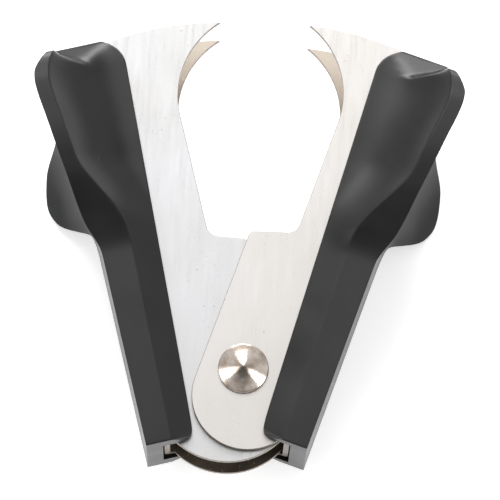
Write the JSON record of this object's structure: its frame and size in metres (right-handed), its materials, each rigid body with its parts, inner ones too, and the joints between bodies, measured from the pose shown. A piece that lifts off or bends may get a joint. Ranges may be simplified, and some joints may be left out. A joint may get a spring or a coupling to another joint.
{
  "type": "staple remover",
  "caption": "Claw staple remover: two folded nickel-plated steel jaws with curved teeth on one rivet, each with a black moulded grip, sprung open.",
  "frame": {"origin": "centre of the bounding box in X and Y, at the lowest point of the tool lying on its side", "axes": "+Z along the rivet's axis towards its domed head, +Y from the hinge to the teeth, +X towards the outer jaw's grip"},
  "size_m": [0.0574, 0.0604, 0.0226],
  "materials": {
    "nickel_plate": "polished",
    "rivet_nickel": "polished",
    "spring_steel": "drawn wire",
    "black_plastic": "satin"
  },
  "bodies": {
    "outer_half": {"outer_jaw": "nickel_plate", "outer_grip": "black_plastic", "pivot_rivet": "rivet_nickel", "torsion_spring": "spring_steel"},
    "inner_half": {"inner_jaw": "nickel_plate", "inner_grip": "black_plastic"}
  },
  "joints": [
    {"name": "squeeze", "type": "hinge", "parent": "outer_half", "child": "inner_half", "pos_m": [0.00153, -0.01785, 0.0113], "axis": [0, 0, -1], "range_deg": [0, 28], "stiffness_Nm_per_rad": 0.35, "springref_deg": -28.65, "deforming": ["torsion_spring"]}
  ]
}
